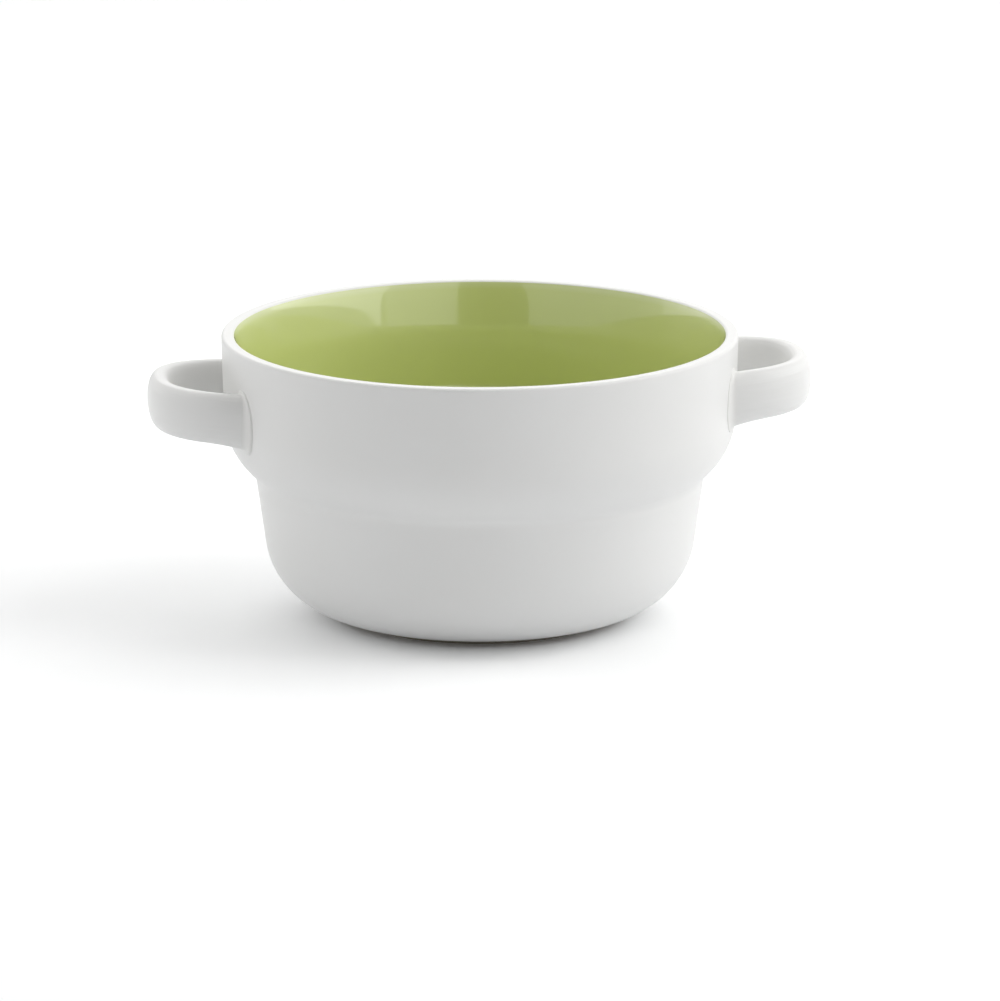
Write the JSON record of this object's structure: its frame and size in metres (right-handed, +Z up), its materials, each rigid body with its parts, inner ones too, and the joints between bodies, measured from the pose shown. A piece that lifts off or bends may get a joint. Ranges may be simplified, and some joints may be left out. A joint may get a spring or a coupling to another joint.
{
  "type": "soup bowl",
  "caption": "Round ceramic soup bowl with a two-tier wall, level strap handles on opposite sides, a green glazed inside and a white satin outside, standing on a bare foot ring.",
  "frame": {"origin": "centre of the foot ring's resting plane, under the middle of the bowl", "axes": "+Z up along the bowl's axis, +X out through the right handle, +Y to the rear"},
  "size_m": [0.1738, 0.135, 0.0749],
  "materials": {
    "bare_clay": "matt fired stoneware",
    "green_glaze": "gloss",
    "white_glaze": "satin",
    "glazed_slip": "satin"
  },
  "bodies": {
    "root": {"bowl_body": "bare_clay", "interior_glaze": "green_glaze", "exterior_glaze": "white_glaze", "base_glaze": "white_glaze", "left_handle": "bare_clay", "right_handle": "bare_clay", "left_handle_glaze": "white_glaze", "right_handle_glaze": "white_glaze", "left_front_slip_joint": "glazed_slip", "left_rear_slip_joint": "glazed_slip", "right_front_slip_joint": "glazed_slip", "right_rear_slip_joint": "glazed_slip"}
  },
  "joints": []
}
